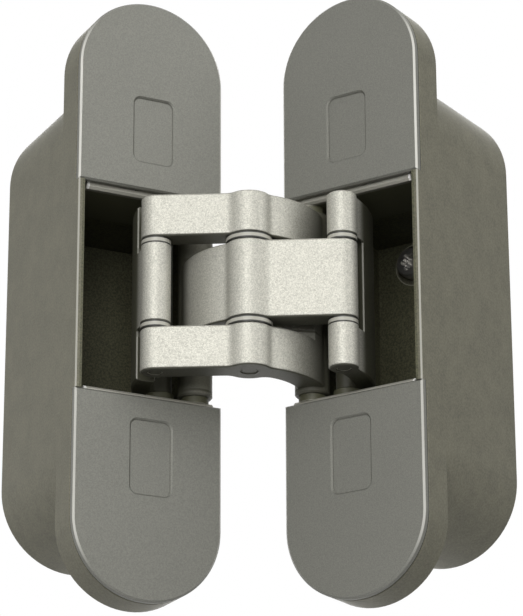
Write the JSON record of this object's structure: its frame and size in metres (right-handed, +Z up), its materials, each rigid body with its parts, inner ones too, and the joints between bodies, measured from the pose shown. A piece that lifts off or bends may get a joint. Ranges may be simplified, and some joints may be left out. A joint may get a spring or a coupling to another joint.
{
  "type": "concealed door hinge",
  "caption": "Concealed door hinge: round-ended jamb and door housings joined by a forked arm, a centre arm and swinging links that fold into the pockets.",
  "frame": {"origin": "centre of the jamb housing's fixing holes, on the flange shoulder that rests on the wood", "axes": "+Z up along the hinge pins, +Y into the jamb, the jamb housing's face looks along -Y; drawn opened to 120 degrees"},
  "size_m": [0.0802, 0.0626, 0.112],
  "materials": {
    "housing_paint": "satin grey paint on a zinc casting",
    "cap_cover": "satin grey moulded cover",
    "arm_silver": "speckled silver paint",
    "washer_polymer": "plain acetal",
    "block_casting": "as cast",
    "pin_steel": "ground"
  },
  "bodies": {
    "jamb": {"jamb_housing": "housing_paint", "jamb_upper_cap": "cap_cover", "jamb_upper_pivot_block": "block_casting", "jamb_upper_clamp_screw": "pin_steel", "jamb_upper_arm_spacer": "pin_steel", "jamb_lower_cap": "cap_cover", "jamb_lower_pivot_block": "block_casting", "jamb_lower_clamp_screw": "pin_steel", "jamb_lower_arm_spacer": "pin_steel", "jamb_arm_pin": "pin_steel"},
    "centre_arm": {"centre_arm": "arm_silver"},
    "fork_arm": {"fork_arm": "arm_silver", "centre_pin": "pin_steel", "tee_link_front_pin": "pin_steel", "centre_upper_washer": "washer_polymer", "centre_lower_washer": "washer_polymer", "tee_link_upper_washer": "washer_polymer", "tee_link_lower_washer": "washer_polymer"},
    "tee_link": {"tee_link": "arm_silver", "jamb_link_pin": "pin_steel", "jamb_upper_link_ring": "pin_steel", "jamb_lower_link_ring": "pin_steel"},
    "fork_link": {"fork_link": "arm_silver", "fork_link_front_pin": "pin_steel", "door_link_pin": "pin_steel", "fork_link_upper_washer": "washer_polymer", "fork_link_lower_washer": "washer_polymer", "door_upper_link_ring": "pin_steel", "door_lower_link_ring": "pin_steel"},
    "door": {"door_housing": "housing_paint", "door_upper_cap": "cap_cover", "door_upper_pivot_block": "block_casting", "door_upper_clamp_screw": "pin_steel", "door_upper_arm_spacer": "pin_steel", "door_upper_adjusting_screw": "pin_steel", "door_lower_cap": "cap_cover", "door_lower_pivot_block": "block_casting", "door_lower_clamp_screw": "pin_steel", "door_lower_arm_spacer": "pin_steel", "door_lower_adjusting_screw": "pin_steel", "door_arm_pin": "pin_steel"}
  },
  "joints": [
    {"name": "jamb_fold", "type": "hinge", "parent": "jamb", "child": "centre_arm", "pos_m": [0.01075, -0.0036, 0], "axis": [0, 0, 1], "range_deg": [-74.4, 37.2]},
    {"name": "centre_fold", "type": "hinge", "parent": "centre_arm", "child": "fork_arm", "pos_m": [0.0137, -0.0193, 0], "axis": [0, 0, 1], "range_deg": [-14.45, 28.85]},
    {"name": "door_fold", "type": "hinge", "parent": "fork_arm", "child": "door", "pos_m": [0.02877, -0.014, 0], "axis": [0, 0, 1], "range_deg": [-74.45, 37.25]},
    {"name": "tee_link_swing", "type": "hinge", "parent": "fork_arm", "child": "tee_link", "pos_m": [-0.00055, -0.01125, 0], "axis": [0, 0, 1], "range_deg": [-34.07, 17.06]},
    {"name": "fork_link_swing", "type": "hinge", "parent": "centre_arm", "child": "fork_link", "pos_m": [0.0278, -0.02762, 0], "axis": [0, 0, 1], "range_deg": [-17.06, 34.07]}
  ],
  "couplings": [
    {"joint": "centre_fold", "follows": "jamb_fold", "ratio": -0.3871},
    {"joint": "door_fold", "follows": "jamb_fold", "ratio": 1},
    {"joint": "tee_link_swing", "follows": "jamb_fold", "ratio": 0.45726},
    {"joint": "fork_link_swing", "follows": "jamb_fold", "ratio": -0.45726}
  ]
}
